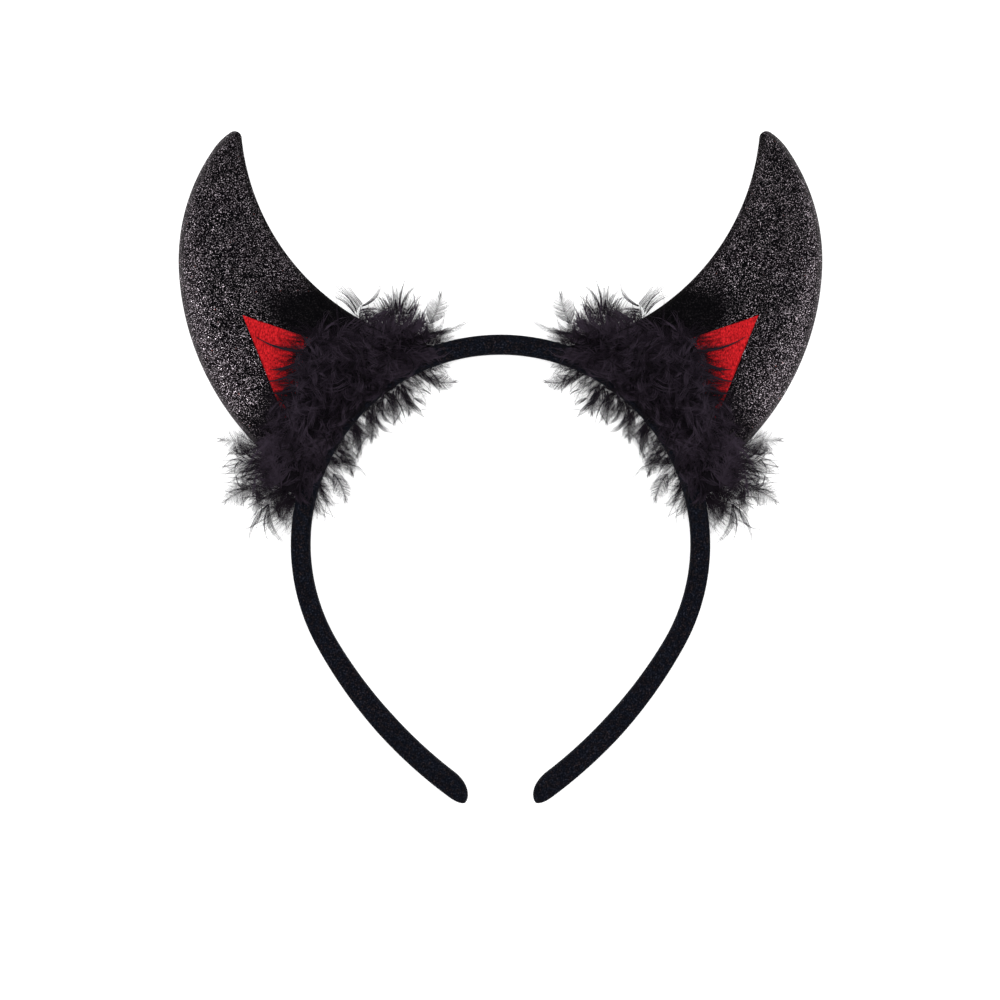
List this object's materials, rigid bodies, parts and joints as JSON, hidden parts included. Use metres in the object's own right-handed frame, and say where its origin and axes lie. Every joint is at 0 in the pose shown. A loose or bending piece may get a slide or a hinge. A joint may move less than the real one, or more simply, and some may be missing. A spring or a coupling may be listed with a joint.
{
  "type": "cow horn headband",
  "caption": "Costume headband: an open velvet-covered band with padded, curved glitter horns, red felt patches on their fronts and marabou feather trim round their feet, worn over the head.",
  "frame": {"origin": "middle of the object's box on the surface that it lies on, with its back down", "axes": "+X to the wearer's left, which is the picture's right, +Y from the band's open end to the horn tips, +Z out of the front"},
  "size_m": [0.1862, 0.1944, 0.0226],
  "materials": {
    "velvet": "short black velvet pile, matt with a faint edge sheen",
    "glitter_fabric": "black fabric set with fine silver-grey glitter",
    "red_felt": "matt red felt with a short nap",
    "marabou": "soft black down feather, wispy at its ends"
  },
  "bodies": {
    "root": {"band": "velvet", "horn_left": "glitter_fabric", "horn_right": "glitter_fabric", "inner_patch_left": "red_felt", "inner_patch_right": "red_felt", "feather_trim_left": "marabou", "feather_trim_right": "marabou"}
  },
  "joints": []
}
